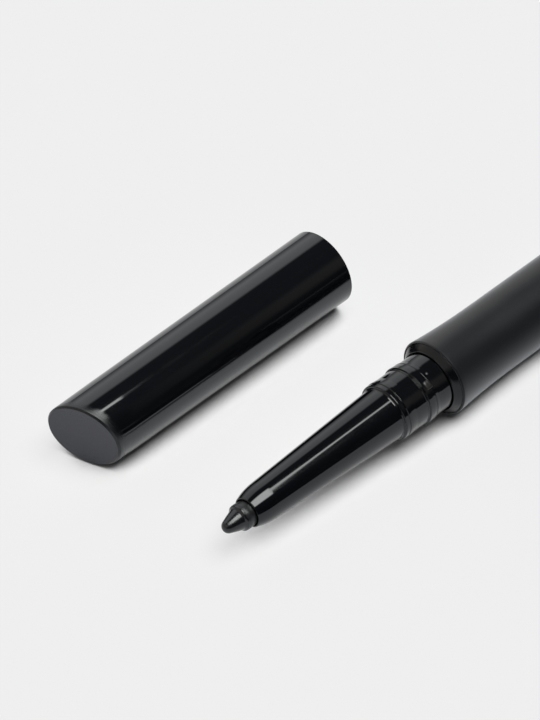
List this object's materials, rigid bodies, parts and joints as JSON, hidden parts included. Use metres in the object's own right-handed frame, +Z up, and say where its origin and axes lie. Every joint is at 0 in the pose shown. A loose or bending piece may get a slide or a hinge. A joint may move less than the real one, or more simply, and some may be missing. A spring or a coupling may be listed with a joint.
{
  "type": "retractable eyeliner pencil",
  "caption": "Twist-up eyeliner pencil with a tapered glossy nozzle, a flared matte barrel, a helical lead drive and a slant-ended cap lying beside it.",
  "frame": {"origin": "centre of the flat face at the pencil's tail, on the pencil's axis", "axes": "+X along the pencil's axis from tip to tail, +Z up, the cap lies on the +Y side"},
  "size_m": [0.1254, 0.032, 0.0098],
  "materials": {
    "soft_touch": "matte",
    "gloss_black": "gloss",
    "cap_black": "gloss",
    "grey_plastic": "satin",
    "white_plastic": "satin",
    "natural_plastic": "satin",
    "soft_rubber": "matte",
    "lead": "satin"
  },
  "bodies": {
    "barrel": {"barrel_sleeve": "soft_touch", "front_collar": "gloss_black", "tail_plug": "gloss_black", "spiral_sleeve": "white_plastic"},
    "nozzle": {"nozzle": "gloss_black", "retaining_ring": "grey_plastic", "friction_ring": "soft_rubber", "guide_tube": "natural_plastic", "guide_end_cap": "grey_plastic"},
    "carrier": {"lead_carrier": "white_plastic", "lead": "lead"},
    "cap": {"cap_shell": "cap_black", "cap_liner": "grey_plastic"}
  },
  "joints": [
    {"name": "nozzle_turn", "type": "hinge", "parent": "barrel", "child": "nozzle", "pos_m": [0, 0, 0], "axis": [-1, 0, 0], "range_deg": [-405, 1080]},
    {"name": "lead_advance", "type": "slide", "parent": "nozzle", "child": "carrier", "axis": [-1, 0, 0], "range_m": [-0.00451, 0.01201]},
    {"name": "cap_slide", "type": "slide", "parent": "barrel", "child": "cap", "axis": [-1, 0, 0], "range_m": [0, 0.045]}
  ],
  "couplings": [
    {"joint": "lead_advance", "follows": "nozzle_turn", "m_per_rad": 0.00063662}
  ]
}
